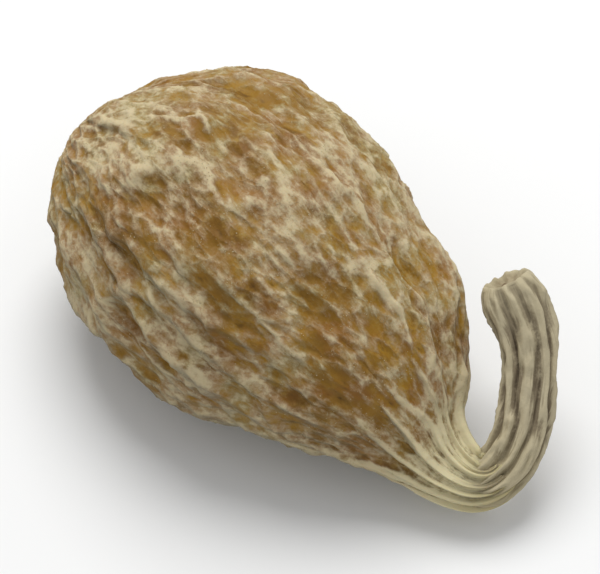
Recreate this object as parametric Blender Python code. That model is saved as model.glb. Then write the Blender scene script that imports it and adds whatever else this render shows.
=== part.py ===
"""A whole dried fig with its stalk, lying on its flattened side.

The fruit is a pear-shaped body whose shrunken skin stands up in a net of ridges, with a closed eye at
the blunt end and a gathered neck at the other. The stalk is a ridged, flattened strap that leaves the
neck and curls back beside it. Units are metres, +Z is up, and +X runs from the eye towards the neck.
"""

import math

import bmesh
import bpy
from mathutils import Matrix, Vector, noise

MM = 0.001
NOISE_SEED = 7  # fixes the net's wandering

# Driving dimensions, in millimetres
FRUIT_LENGTH = 43.0
BELLY_RADIUS = 13.6
FLATTENING = 0.88  # height of the fruit over its width
PRESSED_DEPTH = 0.95  # how far the underside is pressed flat
NOSE_DOWN = math.radians(8.0)  # the neck lies lower than the belly
STALK_WIDTH = 4.5
STALK_THICKNESS = 2.9
JOINT_GAP = 0.95  # from the floor of the neck's socket to the middle of the stalk's foot

# Shares of the belly's radius, and of the fruit's length, at the neck's end
MOUTH = 0.160
SOCKET = 0.140
SOCKET_FLOOR = 0.965

# The turned outline of the fruit from the floor of the eye to the floor of the neck's socket:
# each pair is a share of the fruit's length and a share of the belly's radius
OUTLINE = (
    (0.036, 0.000),
    (0.022, 0.085),
    (0.000, 0.200),
    (0.018, 0.380),
    (0.060, 0.575),
    (0.120, 0.755),
    (0.200, 0.905),
    (0.300, 0.980),
    (0.430, 0.995),
    (0.540, 0.890),
    (0.640, 0.750),
    (0.740, 0.625),
    (0.840, 0.435),
    (0.930, 0.235),
    (1.000, MOUTH),
    (0.985, SOCKET),
    (0.967, 0.118),
    (SOCKET_FLOOR, 0.000),
)
OUTLINE_STEPS = 24  # straight steps in each stretch of the outline
RINGS = 62
SIDES = 90
END_CROWDING = 0.25  # rings stand closer towards the two ends

# How the fruit's middle line wanders sideways and droops, in mm, at shares of its length
SIDE_WANDER = ((0.0, -1.6), (0.16, 0.0), (0.5, 0.0), (0.7, 1.0), (0.88, 1.6), (1.0, 1.1))
DROOP = ((0.0, 0.0), (0.45, 0.0), (0.75, -0.8), (1.0, -3.4))

# Broad swellings and dents: share of length, angle round the fruit, reach in mm, height in mm
SWELLINGS = (
    (0.75, math.radians(22.0), 6.0, 2.4),
    (0.06, math.radians(30.0), 8.0, 0.9),
    (0.12, math.radians(-160.0), 7.0, 0.3),
    (0.52, math.radians(-60.0), 9.0, -1.1),
    (0.30, math.radians(150.0), 10.0, -0.7),
    (0.78, math.radians(-120.0), 6.0, -0.8),
)
SWELLING_RADIUS = 0.9  # share of the belly's radius at which their centres lie

# The net of ridges: cells along and round the fruit, and the ridges' half width, in mm at the belly
NET_CELL_LENGTH = 11.0
NET_CELL_WIDTH = 5.4
NET_RIDGE_WIDTH = 1.15
NET_HEIGHT = 1.15
NET_WARP = 0.4  # how far the cells wander, as a share of their own size
NET_WARP_PACE = 0.8  # how quickly that changes from cell to cell
NARROWEST = 0.35  # the cells shrink with the fruit's girth, but never below this share
FOLD_HEIGHT = 0.55  # long soft folds from the neck to the belly
FOLD_COUNT = 1.7
FOLD_PACE = 1.6  # how quickly the folds change along the fruit
LUMP_SIZE = 11.0
LUMP_HEIGHT = 0.7
FADE_RADIUS = 0.45  # share of the belly's radius below which the relief fades at both ends

# The neck: ribs that gather the skin towards the stalk
NECK_RIBS = 10
NECK_RIB_HEIGHT = 0.7
NECK_RIB_CREST = 0.6  # share of the height that stands out, the rest being the groove
NECK_START = 0.74  # share of length where the ribs begin to rise
NECK_FULL = 0.93  # and where they are at their full height
RIB_SWAY = 0.5  # how far the ribs wander round the neck, in radians
RIB_SWAY_ALONG = 6.0
RIB_SWAY_ROUND = 1.3
TURN_START = 0.86  # share of length where the neck begins to turn towards the stalk's side
TURN_SLOPE = 0.5  # how far the neck's mouth leans that way, as a slope
TURN_SIDE = math.radians(25.0)  # the way it leans, as an angle round the fruit

# The eye: a ring of small closed scales at the blunt end
EYE_RADIUS = 3.4
EYE_END = 0.2  # share of length beyond which there are no scales
EYE_SCALES = 9
EYE_SCALE_HEIGHT = 0.35
EYE_SWIRL = 1.5  # how far the scales twist, in radians for each mm of radius

# The stalk's middle line, in mm from just past the neck's mouth: across and up its own leaning plane
STALK_ROUTE = (
    (0.0, 0.0),
    (1.4, -0.1),
    (2.8, 0.9),
    (4.0, 2.6),
    (4.9, 5.0),
    (5.4, 8.0),
    (5.5, 10.6),
    (5.05, 13.0),
    (4.25, 15.1),
    (3.5, 16.8),
)
STALK_PLANE_AZIMUTH = math.radians(48.0)
STALK_PLANE_LEAN = math.radians(55.0)
STALK_START = 0.5  # how far past the neck's mouth the route starts
# Shares of the stalk's full width along it, from its foot to its cut end
STALK_GIRTH = (
    (0.0, 0.48),
    (0.05, 0.56),
    (0.18, 0.92),
    (0.3, 0.98),
    (0.6, 1.0),
    (0.92, 1.16),
    (1.0, 1.04),
)
STALK_RIBS = 9
STALK_RIB_DEPTH = 0.16  # share of the stalk's radius
STALK_RINGS = 40
ROUTE_STEPS = 6  # straight steps in each stretch of the route
LOOK_AHEAD = 0.02  # share of the route over which its direction is read


def smooth_through(points, steps):
    """Points on a smooth curve through the given ones (Catmull-Rom)."""
    points = [Vector(p) for p in points]
    ends = [2 * points[0] - points[1]] + points + [2 * points[-1] - points[-2]]
    found = []
    for a, b, c, d in zip(ends, ends[1:], ends[2:], ends[3:]):
        for step in range(steps):
            t = step / steps
            found.append(
                0.5 * (2 * b + (c - a) * t + (2 * a - 5 * b + 4 * c - d) * t**2)
                + 0.5 * (3 * b - a - 3 * c + d) * t**3
            )
    return found + [points[-1]]


def walk(line, share):
    """The point at this share of a line's length."""
    lengths = [(b - a).length for a, b in zip(line, line[1:])]
    left = share * sum(lengths)
    for start, end, length in zip(line, line[1:], lengths):
        if left <= length:
            return start.lerp(end, left / length)
        left -= length
    return line[-1].copy()


def value_at(table, share):
    """Reads a table of (share, value) with soft steps between its rows."""
    for (low, first), (high, second) in zip(table, table[1:]):
        if share <= high:
            t = max(0.0, (share - low) / (high - low))
            return first + (second - first) * t * t * (3 - 2 * t)
    return table[-1][1]


def net_ridge(along, radius, angle):
    """0.5 on the ridges of the skin's net and -0.5 in its pits; cells shrink towards both ends."""
    cells_round = BELLY_RADIUS / NET_CELL_WIDTH
    round_y = cells_round * math.cos(angle)
    round_z = cells_round * math.sin(angle)
    spot = Vector((along / NET_CELL_LENGTH, round_y, round_z))
    spot += NET_WARP * noise.noise_vector(spot * NET_WARP_PACE)
    narrowing = max(NARROWEST, radius / BELLY_RADIUS)
    cell_width = NET_CELL_WIDTH * narrowing
    _, middles = noise.voronoi(spot)
    nearest = NET_CELL_LENGTH
    for other in middles[1:]:
        across = (other - middles[0]).normalized()
        to_edge = (0.5 * (middles[0] + other) - spot).dot(across)
        slope_along = across.x / NET_CELL_LENGTH
        slope_round = math.hypot(across.y, across.z) / cell_width
        nearest = min(nearest, to_edge / math.hypot(slope_along, slope_round))
    return narrowing * (math.exp(-((nearest / (NET_RIDGE_WIDTH * narrowing)) ** 2)) - 0.5)


def swelling(on_skin):
    """The height of the broad swellings and dents at this point, in mm."""
    height_here = 0.0
    out = SWELLING_RADIUS * BELLY_RADIUS
    for where, facing, reach, height in SWELLINGS:
        centre = Vector((where * FRUIT_LENGTH, out * math.cos(facing), out * math.sin(facing)))
        height_here += height * math.exp(-(((on_skin - centre).length / reach) ** 2))
    return height_here


def relief(along, radius, angle, share):
    """How far the skin stands out from the plain turned body, in mm."""
    round_y = math.cos(angle)
    round_z = math.sin(angle)
    fold_spot = Vector((share * FOLD_PACE, FOLD_COUNT * round_y, FOLD_COUNT * round_z))
    on_skin = Vector((along, radius * round_y, radius * round_z))
    raised = 2 * FOLD_HEIGHT * noise.noise(fold_spot)
    raised += LUMP_HEIGHT * noise.noise(on_skin / LUMP_SIZE)
    raised += NET_HEIGHT * net_ridge(along, radius, angle)
    raised += swelling(on_skin)
    middle = min(1.0, radius / (FADE_RADIUS * BELLY_RADIUS))
    return raised * middle + NECK_RIB_HEIGHT * neck_rib(radius, angle, share)


def neck_rib(radius, angle, share):
    """The neck's ribs, which rise from nothing at NECK_START and end at the mouth's rim."""
    if share < NECK_START:
        return 0.0
    rise = min(1.0, (share - NECK_START) / (NECK_FULL - NECK_START))
    rise *= min(1.0, max(0.0, (radius / BELLY_RADIUS - SOCKET) / (MOUTH - SOCKET)))
    round_y = RIB_SWAY_ROUND * math.cos(angle)
    round_z = RIB_SWAY_ROUND * math.sin(angle)
    sway = RIB_SWAY * noise.noise(Vector((share * RIB_SWAY_ALONG, round_y, round_z)))
    return rise * (NECK_RIB_CREST - abs(math.sin(0.5 * NECK_RIBS * (angle + sway))))


def eye_scales(radius, angle, share):
    """The small scales that close the eye, as petals of relief round its middle."""
    if share > EYE_END or radius > EYE_RADIUS:
        return 0.0
    petal = abs(math.cos(0.5 * EYE_SCALES * angle + EYE_SWIRL * radius))
    return EYE_SCALE_HEIGHT * petal * math.sin(math.pi * radius / EYE_RADIUS)


def body_point(share_of_outline, angle, outline):
    """A point of the fruit's skin in its own frame, in mm, with the eye at x = 0."""
    turn = 2 * math.pi
    place = share_of_outline - END_CROWDING * math.sin(turn * share_of_outline) / turn
    at = walk(outline, place)
    share = at.x
    radius = at.y * BELLY_RADIUS
    along = share * FRUIT_LENGTH - eye_scales(radius, angle, share)
    stand = radius + relief(along, radius, angle, share)
    turning = value_at(((TURN_START, 0.0), (1.0, TURN_SLOPE)), share)
    along -= turning * stand * math.cos(angle - TURN_SIDE)
    side = stand * math.cos(angle) + value_at(SIDE_WANDER, share)
    height = stand * FLATTENING * math.sin(angle) + value_at(DROOP, share)
    return Vector((along, side, height))


def resting(points):
    """Tips the fruit nose down and sets it on the surface, its underside pressed flat."""
    turn = Matrix.Rotation(NOSE_DOWN, 3, "Y")
    turned = [turn @ p for p in points]
    lowest = min(p.z for p in turned)
    for p in turned:
        p.z = max(0.0, p.z - lowest - PRESSED_DEPTH)
    return turned, Vector((0.0, 0.0, -lowest - PRESSED_DEPTH))


def material(name, colour, roughness):
    made = bpy.data.materials.new(name)
    made.use_nodes = True
    shader = made.node_tree.nodes["Principled BSDF"]
    shader.inputs["Base Color"].default_value = (*colour, 1.0)
    shader.inputs["Roughness"].default_value = roughness
    shader.inputs["Metallic"].default_value = 0.0
    made.diffuse_color = (*colour, 1.0)
    return made


def add_object(name, mesh, collection, finish):
    made = bpy.data.objects.new(name, mesh)
    mesh.materials.append(finish)
    collection.objects.link(made)
    return made


def build_fruit(collection):
    outline = smooth_through(OUTLINE, OUTLINE_STEPS)
    shape = bmesh.new()
    bmesh.ops.create_uvsphere(shape, u_segments=SIDES, v_segments=RINGS, radius=1.0)
    shape.verts.ensure_lookup_table()
    skin = []
    for vertex in shape.verts:
        share = math.acos(max(-1.0, min(1.0, -vertex.co.z))) / math.pi
        angle = math.atan2(vertex.co.y, vertex.co.x)
        skin.append(body_point(share, angle, outline))
    placed, lift = resting(skin)
    for vertex, spot in zip(shape.verts, placed):
        vertex.co = spot * MM
    mesh = bpy.data.meshes.new("fruit")
    shape.to_mesh(mesh)
    shape.free()
    mesh.shade_smooth()
    finish = material("skin", (0.43, 0.29, 0.12), 0.75)
    return add_object("fruit", mesh, collection, finish), lift


def neck_frame(lift):
    """The middle of the socket's floor and the way the neck points, in mm."""
    turn = Matrix.Rotation(NOSE_DOWN, 3, "Y")
    side = value_at(SIDE_WANDER, SOCKET_FLOOR)
    middle = Vector((SOCKET_FLOOR * FRUIT_LENGTH, side, value_at(DROOP, SOCKET_FLOOR)))
    return turn @ middle + lift, turn @ Vector((1.0, 0.0, 0.0))


def stalk_path(lift):
    """The stalk's middle line, and the way its flat side faces."""
    start, outwards = neck_frame(lift)
    across = Vector((math.cos(STALK_PLANE_AZIMUTH), math.sin(STALK_PLANE_AZIMUTH), 0.0))
    level = Vector((-across.y, across.x, 0.0))
    upright = Vector((0.0, 0.0, 1.0))
    upwards = level * math.sin(STALK_PLANE_LEAN) + upright * math.cos(STALK_PLANE_LEAN)
    foot = start + outwards * JOINT_GAP
    base = start + outwards * ((1.0 - SOCKET_FLOOR) * FRUIT_LENGTH + STALK_START)
    route = [foot] + [base + across * a + upwards * b for a, b in STALK_ROUTE]
    return smooth_through(route, ROUTE_STEPS), across.cross(upwards)


def build_stalk(collection, lift):
    line, facing = stalk_path(lift)
    shape = bmesh.new()
    bmesh.ops.create_cone(
        shape, cap_ends=True, segments=2 * STALK_RIBS, radius1=1.0, radius2=1.0, depth=1.0
    )
    uprights = [e for e in shape.edges if abs(e.verts[0].co.z - e.verts[1].co.z) > 0.5]
    bmesh.ops.subdivide_edges(shape, edges=uprights, cuts=STALK_RINGS - 1, use_grid_fill=True)
    for vertex in shape.verts:
        share = vertex.co.z + 0.5
        angle = math.atan2(vertex.co.y, vertex.co.x)
        behind = walk(line, max(0.0, share - LOOK_AHEAD))
        ahead = (walk(line, min(1.0, share + LOOK_AHEAD)) - behind).normalized()
        wide = facing.cross(ahead).normalized()
        thick = ahead.cross(wide)
        in_groove = round(angle / (math.pi / STALK_RIBS)) % 2
        girth = value_at(STALK_GIRTH, share) * (1.0 - STALK_RIB_DEPTH * in_groove)
        spot = walk(line, share)
        spot += wide * (0.5 * STALK_WIDTH * girth * math.cos(angle))
        spot += thick * (0.5 * STALK_THICKNESS * girth * math.sin(angle))
        vertex.co = spot * MM
    mesh = bpy.data.meshes.new("stalk")
    shape.to_mesh(mesh)
    shape.free()
    return add_object("stalk", mesh, collection, material("stalk", (0.52, 0.44, 0.30), 0.85))


def centre_on_ground(objects):
    """Moves everything so that the middle of its box's underside is the origin."""
    corners = [v.co for o in objects for v in o.data.vertices]
    middle_x = 0.5 * (min(c.x for c in corners) + max(c.x for c in corners))
    middle_y = 0.5 * (min(c.y for c in corners) + max(c.y for c in corners))
    for o in objects:
        o.data.transform(Matrix.Translation((-middle_x, -middle_y, 0.0)))


def main():
    noise.seed_set(NOISE_SEED)
    for old in list(bpy.data.objects):
        bpy.data.objects.remove(old)
    collection = bpy.data.collections.new("dried fig")
    bpy.context.scene.collection.children.link(collection)
    fruit, lift = build_fruit(collection)
    stalk = build_stalk(collection, lift)
    centre_on_ground([fruit, stalk])


main()
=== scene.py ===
import math

import bmesh
import bpy
from mathutils import Matrix, Vector, noise


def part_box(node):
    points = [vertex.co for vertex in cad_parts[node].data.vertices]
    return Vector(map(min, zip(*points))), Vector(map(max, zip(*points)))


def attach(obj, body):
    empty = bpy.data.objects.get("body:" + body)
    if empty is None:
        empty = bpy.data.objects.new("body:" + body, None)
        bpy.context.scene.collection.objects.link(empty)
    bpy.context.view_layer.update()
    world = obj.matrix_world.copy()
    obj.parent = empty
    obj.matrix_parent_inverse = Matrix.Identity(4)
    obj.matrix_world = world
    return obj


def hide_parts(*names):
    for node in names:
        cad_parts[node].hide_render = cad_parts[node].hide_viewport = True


# A whole dried fig with its stalk, lying on a pale table.
# Forms are worked out in mm and made metres when a mesh is built.

mm = 0.001
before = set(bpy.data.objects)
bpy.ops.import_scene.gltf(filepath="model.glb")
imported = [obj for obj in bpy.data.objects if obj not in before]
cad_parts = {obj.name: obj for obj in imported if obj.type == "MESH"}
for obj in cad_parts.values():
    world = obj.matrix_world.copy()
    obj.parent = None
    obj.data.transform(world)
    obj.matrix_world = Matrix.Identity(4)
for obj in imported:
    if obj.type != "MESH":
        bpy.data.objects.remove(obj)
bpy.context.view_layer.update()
print("frame loaded")


# Node tree helpers, for shapes and finishes alike

class Field:
    # a node's output: sums done with it make the nodes that work them out

    def __init__(self, socket):
        self.socket = socket
        self.tree = socket.id_data
        self.isVector = socket.type in ("VECTOR", "RGBA")

    def __add__(self, other):
        return maths("ADD", self, other)

    def __sub__(self, other):
        return maths("SUBTRACT", self, other)

    def __rsub__(self, other):
        return maths("SUBTRACT", other, self)

    def __mul__(self, other):
        return maths("MULTIPLY", self, other)

    def __truediv__(self, other):
        return maths("DIVIDE", self, other)

    def __rtruediv__(self, other):
        return maths("DIVIDE", other, self)


def plug(value, socket):
    if isinstance(value, Field):
        value = value.socket
    if isinstance(value, bpy.types.NodeSocket):
        socket.id_data.links.new(value, socket)
    else:
        socket.default_value = value


def feed(node, inputs):
    for name, value in dict(inputs).items():
        plug(value, node.inputs[name])


def newNode(tree, kind, inputs=(), **settings):
    # makes a node, sets it up and gives its outputs
    node = tree.nodes.new(kind)
    for name, value in settings.items():
        setattr(node, name, value)
    feed(node, inputs)
    return node.outputs


def newField(*given, **settings):
    return Field(newNode(*given, **settings)[0])


def vectorLike(value):
    return value.isVector if isinstance(value, Field) else isinstance(value, tuple)


def maths(operation, first, second=0.0, clamp=False):
    tree = first.tree if isinstance(first, Field) else second.tree
    if not vectorLike(first):
        return newField(tree, "ShaderNodeMath", {0: first, 1: second}, operation=operation, use_clamp=clamp)
    if vectorLike(second):
        return newField(tree, "ShaderNodeVectorMath", {0: first, 1: second}, operation=operation)
    return newField(tree, "ShaderNodeVectorMath", {0: first, "Scale": second}, operation="SCALE")


def joinXyz(tree, x, y, z):
    return newField(tree, "ShaderNodeCombineXYZ", {0: x, 1: y, 2: z})


def heightOf(vector):
    return Field(newNode(vector.tree, "ShaderNodeSeparateXYZ", {0: vector})[2])


def noiseNode(vector, scale, detail=2.0, roughness=0.5):
    return newNode(vector.tree, "ShaderNodeTexNoise", {
        "Vector": vector, "Scale": scale, "Detail": detail, "Roughness": roughness,
    })


def noiseValue(*settings):
    return Field(noiseNode(*settings)[0])


def noiseOffset(vector, scale, reach):
    return (Field(noiseNode(vector, scale)[1]) - (0.5, 0.5, 0.5)) * reach


def softStep(value, low, high, bottom=0.0, top=1.0):
    names = ("Value", "From Min", "From Max", "To Min", "To Max")
    return newField(value.tree, "ShaderNodeMapRange", zip(names, (value, low, high, bottom, top)),
                    interpolation_type="SMOOTHSTEP")


def netLayer(space, knobs, size):
    # 1 on the ridges between cells, falling away to 0 in the pits
    width = knobs[size + " Width"]
    spot = space * joinXyz(space.tree, 1.0 / knobs[size + " Length"], 1.0 / width, 1.0 / width)
    spot = spot + noiseOffset(spot, fig["warpPace"], knobs[size + " Warp"])
    cells = newNode(space.tree, "ShaderNodeTexVoronoi", {"Vector": spot, "Scale": 1.0},
                    feature="DISTANCE_TO_EDGE")
    return maths("EXPONENT", Field(cells["Distance"]) * width / knobs[size + " Ridge"] * -1.0)


def newTree(kind, name, inputs, outputs=("Geometry",)):
    # an input's kind follows from its first value, where none stands for geometry
    tree = bpy.data.node_groups.new(name, kind)
    kinds = {float: "Float", int: "Int", tuple: "Vector", type(None): "Geometry"}
    for label, value in inputs.items():
        socket = tree.interface.new_socket(
            name=label, in_out="INPUT", socket_type="NodeSocket" + kinds[type(value)])
        if value is not None:
            socket.default_value = value
    for label in outputs:
        found = "Geometry" if kind == "GeometryNodeTree" else "Float"
        tree.interface.new_socket(name=label, in_out="OUTPUT", socket_type="NodeSocket" + found)
    given = tree.nodes.new("NodeGroupInput").outputs
    return tree, {socket.name: Field(socket) for socket in given if socket.name}


# Geometry Nodes helpers

def knobsOf(settings):
    # a piece's settings that are inputs of its tree
    return {name: value for name, value in settings.items() if name[0].isupper()}


def readSet(tree, name, kind="FLOAT"):
    return newField(tree, "GeometryNodeInputNamedAttribute", {"Name": name}, data_type=kind)


def storeSet(geometry, name, value):
    return newNode(value.tree, "GeometryNodeStoreNamedAttribute",
                   {"Geometry": geometry, "Name": name, "Value": value},
                   data_type="FLOAT_VECTOR" if value.isVector else "FLOAT")[0]


def movedBy(geometry, offset):
    return newNode(offset.tree, "GeometryNodeSetPosition", {"Geometry": geometry, "Offset": offset})[0]


def randomVector(seed, low, high):
    return newField(seed.tree, "FunctionNodeRandomValue", {0: low, 1: high, "Seed": seed},
                    data_type="FLOAT_VECTOR")


def endTree(tree, geometry, finish):
    realized = newNode(tree, "GeometryNodeRealizeInstances", {0: geometry})
    painted = newNode(tree, "GeometryNodeSetMaterial", {"Geometry": realized[0], "Material": finish})
    newNode(tree, "NodeGroupOutput", {0: painted[0]})
    return tree


def runTree(name, source, tree, settings):
    modifier = source.modifiers.new(name, "NODES")
    modifier.node_group = tree
    for item in tree.interface.items_tree:
        if item.in_out == "INPUT" and item.name in settings:
            modifier[item.identifier] = settings[item.name]
    source.update_tag()
    bpy.context.view_layer.update()
    graph = bpy.context.evaluated_depsgraph_get()
    mesh = bpy.data.meshes.new_from_object(
        source.evaluated_get(graph), preserve_all_data_layers=True, depsgraph=graph
    )
    source.modifiers.clear()
    bpy.data.objects.remove(source)
    mesh.shade_smooth()
    return bareObject(name, mesh)


def bareObject(name, mesh):
    made = bpy.data.objects.new(name, mesh)
    bpy.context.scene.collection.objects.link(made)
    return made


def setValues(mesh, name, values):
    if isinstance(values[0], Vector):
        layer = mesh.attributes.new(name, "FLOAT_VECTOR", "POINT")
        layer.data.foreach_set("vector", [number for vector in values for number in vector])
    else:
        mesh.attributes.new(name, "FLOAT", "POINT").data.foreach_set("value", values)


def aroundX(x, radius, angle):
    return Vector((x, radius * math.cos(angle), radius * math.sin(angle)))


# The fruit's form: the same named sizes and the same rules as its solid

fig = {
    "netSeed": 7,
    "length": 43.0,
    "bellyRadius": 13.6,
    "flattening": 0.88,
    "pressedDepth": 0.95,
    "noseDown": math.radians(8.0),
    "mouth": 0.16,
    "socket": 0.14,
    "outline": (
        (0.036, 0.0), (0.022, 0.085), (0.0, 0.2), (0.018, 0.38), (0.06, 0.575),
        (0.12, 0.755), (0.2, 0.905), (0.3, 0.98), (0.43, 0.995), (0.54, 0.89),
        (0.64, 0.75), (0.74, 0.625), (0.84, 0.435), (0.93, 0.235), (1.0, 0.16),
        (0.985, 0.14), (0.967, 0.118), (0.965, 0.0),
    ),
    "outlineSteps": 24,
    "mouthPlace": 14,  # the outline's pair at the rim of the neck
    "endCrowding": 0.25,
    "sideWander": ((0.0, -1.6), (0.16, 0.0), (0.5, 0.0), (0.7, 1.0), (0.88, 1.6), (1.0, 1.1)),
    "droop": ((0.0, 0.0), (0.45, 0.0), (0.75, -0.8), (1.0, -3.4)),
    # share of length, angle round the fruit in degrees, reach and height
    "swellings": (
        (0.75, 22.0, 6.0, 2.4), (0.06, 30.0, 8.0, 0.9), (0.12, -160.0, 7.0, 0.3),
        (0.52, -60.0, 9.0, -1.1), (0.3, 150.0, 10.0, -0.7), (0.78, -120.0, 6.0, -0.8),
    ),
    "swellingRadius": 0.9,
    "cellLength": 11.0,
    "cellWidth": 5.4,
    "ridgeWidth": 1.15,
    "netHeight": 1.15,
    "netEasing": 1.0,  # under 1 where the finer net takes over part of the relief
    "netWarp": 0.4,
    "warpPace": 0.8,
    "narrowest": 0.35,
    "foldHeight": 0.55,
    "foldCount": 1.7,
    "foldPace": 1.6,
    "lumpSize": 11.0,
    "lumpHeight": 0.7,
    "fadeRadius": 0.45,
    "neckRibs": 10,
    "ribHeight": 0.7,
    "ribCrest": 0.6,
    "neckStart": 0.74,
    "neckFull": 0.93,
    "ribSway": 0.5,
    "swayAlong": 6.0,
    "swayRound": 1.3,
    "turnStart": 0.86,
    "turnSlope": 0.5,
    "turnSide": math.radians(25.0),
    "eyeRadius": 3.4,
    "eyeEnd": 0.2,
    "eyeScales": 9,
    "eyeScaleHeight": 0.35,
    "eyeSwirl": 1.5,
    # fine sharp creases: from share and degrees round, to share and degrees round, height
    "creases": (
        (0.6, 76.0, 0.815, 80.5, 0.42), (0.3, 128.0, 0.43, 121.0, 0.28), (0.5, 121.0, 0.6, 108.0, 0.25),
        (0.16, 95.0, 0.27, 84.0, 0.22), (0.45, 66.0, 0.58, 62.0, 0.26), (0.62, 131.0, 0.76, 124.0, 0.3),
        (0.3, -60.0, 0.52, -52.0, 0.3), (0.4, 178.0, 0.62, 172.0, 0.3), (0.35, 20.0, 0.55, 26.0, 0.3),
        (0.8, 116.0, 1.04, 146.0, 0.5), (0.8, 80.0, 1.04, 93.0, 0.5), (0.82, 40.0, 1.04, 50.0, 0.42),
        (0.82, 2.0, 1.04, 6.0, 0.5), (0.8, -50.0, 1.04, -44.0, 0.42), (0.8, -110.0, 1.04, -118.0, 0.42),
        (0.8, 178.0, 1.04, 186.0, 0.42),
    ),
    "creaseWidth": 0.3,
    "creaseTaper": 4.0,  # how soon it is full, from either end
    "creaseWaver": 0.04,
    "waverPace": 9.0,
    "waverShift": 40.0,
    "coarseRings": 62,
    "coarseSides": 90,
}


def smoothThrough(points, steps):
    points = [Vector(p) for p in points]
    ends = [2 * points[0] - points[1]] + points + [2 * points[-1] - points[-2]]
    found = []
    for a, b, c, d in zip(ends, ends[1:], ends[2:], ends[3:]):
        for step in range(steps):
            t = step / steps
            found.append(
                0.5 * (2 * b + (c - a) * t + (2 * a - 5 * b + 4 * c - d) * t**2)
                + 0.5 * (3 * b - a - 3 * c + d) * t**3
            )
    return found + [points[-1]]


def lineLength(line):
    return sum((b - a).length for a, b in zip(line, line[1:]))


def pointAt(line, distance):
    for start, end in zip(line, line[1:]):
        step = (end - start).length
        if distance <= step:
            return start.lerp(end, distance / step)
        distance -= step
    return line[-1].copy()


def readTable(table, share):
    for (low, first), (high, second) in zip(table, table[1:]):
        if share <= high:
            t = max(0.0, (share - low) / (high - low))
            return first + (second - first) * t * t * (3 - 2 * t)
    return table[-1][1]


def coarseRidge(along, radius, angle):
    cellsRound = fig["bellyRadius"] / fig["cellWidth"]
    spot = aroundX(along / fig["cellLength"], cellsRound, angle)
    spot += fig["netWarp"] * noise.noise_vector(spot * fig["warpPace"])
    narrowing = max(fig["narrowest"], radius / fig["bellyRadius"])
    cellWidth = fig["cellWidth"] * narrowing
    _, middles = noise.voronoi(spot)
    nearest = fig["cellLength"]
    for other in middles[1:]:
        across = (other - middles[0]).normalized()
        toEdge = (0.5 * (middles[0] + other) - spot).dot(across)
        slope = math.hypot(across.x / fig["cellLength"], math.hypot(across.y, across.z) / cellWidth)
        nearest = min(nearest, toEdge / slope)
    return math.exp(-((nearest / (fig["ridgeWidth"] * narrowing)) ** 2)), narrowing


def swellingAt(onSkin):
    raised = 0.0
    out = fig["swellingRadius"] * fig["bellyRadius"]
    for where, degrees, reach, height in fig["swellings"]:
        centre = aroundX(where * fig["length"], out, math.radians(degrees))
        raised += height * math.exp(-(((onSkin - centre).length / reach) ** 2))
    return raised


def neckRib(radius, angle, share):
    if share < fig["neckStart"]:
        return 0.0
    rise = min(1.0, (share - fig["neckStart"]) / (fig["neckFull"] - fig["neckStart"]))
    rim = fig["mouth"] - fig["socket"]
    rise *= min(1.0, max(0.0, (radius / fig["bellyRadius"] - fig["socket"]) / rim))
    sway = fig["ribSway"] * noise.noise(aroundX(share * fig["swayAlong"], fig["swayRound"], angle))
    return rise * (fig["ribCrest"] - abs(math.sin(0.5 * fig["neckRibs"] * (angle + sway))))


def eyeScale(radius, angle, share):
    if share > fig["eyeEnd"] or radius > fig["eyeRadius"]:
        return 0.0
    petal = abs(math.cos(0.5 * fig["eyeScales"] * angle + fig["eyeSwirl"] * radius))
    return fig["eyeScaleHeight"] * petal * math.sin(math.pi * radius / fig["eyeRadius"])


def creaseAt(share, radius, angle):
    found = 0.0
    for start, startAngle, end, endAngle, height in fig["creases"]:
        t = (share - start) / (end - start)
        if 0.0 < t < 1.0:
            middle = math.radians(startAngle + (endAngle - startAngle) * t)
            middle += fig["creaseWaver"] * math.sin(fig["waverPace"] * t + fig["waverShift"] * start)
            apart = radius * math.remainder(angle - middle, math.tau)
            envelope = min(1.0, fig["creaseTaper"] * t, fig["creaseTaper"] * (1.0 - t))
            found = max(found, height * envelope * math.exp(-abs(apart) / fig["creaseWidth"]))
    return found


def skinPoint(at, angle):
    # a point of the skin before it is laid down, with what the finish needs to know of it
    share = at.x
    radius = at.y * fig["bellyRadius"]
    along = share * fig["length"] - eyeScale(radius, angle, share)
    onSkin = aroundX(along, radius, angle)
    foldSpot = aroundX(share * fig["foldPace"], fig["foldCount"], angle)
    ridge, narrowing = coarseRidge(along, radius, angle)
    raised = 2 * fig["foldHeight"] * noise.noise(foldSpot)
    raised += fig["lumpHeight"] * noise.noise(onSkin / fig["lumpSize"])
    raised += fig["netHeight"] * fig["netEasing"] * narrowing * (ridge - 0.5)
    raised += swellingAt(onSkin)
    fade = min(1.0, radius / (fig["fadeRadius"] * fig["bellyRadius"]))
    rib = neckRib(radius, angle, share)
    stand = radius + raised * fade + fig["ribHeight"] * rib
    turning = readTable(((fig["turnStart"], 0.0), (1.0, fig["turnSlope"])), share)
    along -= turning * stand * math.cos(angle - fig["turnSide"])
    side = stand * math.cos(angle) + readTable(fig["sideWander"], share)
    height = stand * fig["flattening"] * math.sin(angle) + readTable(fig["droop"], share)
    return Vector((along, side, height)), ridge * fade, fade, rib


def laidDown(point):
    return Matrix.Rotation(fig["noseDown"], 3, "Y") @ point


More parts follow.
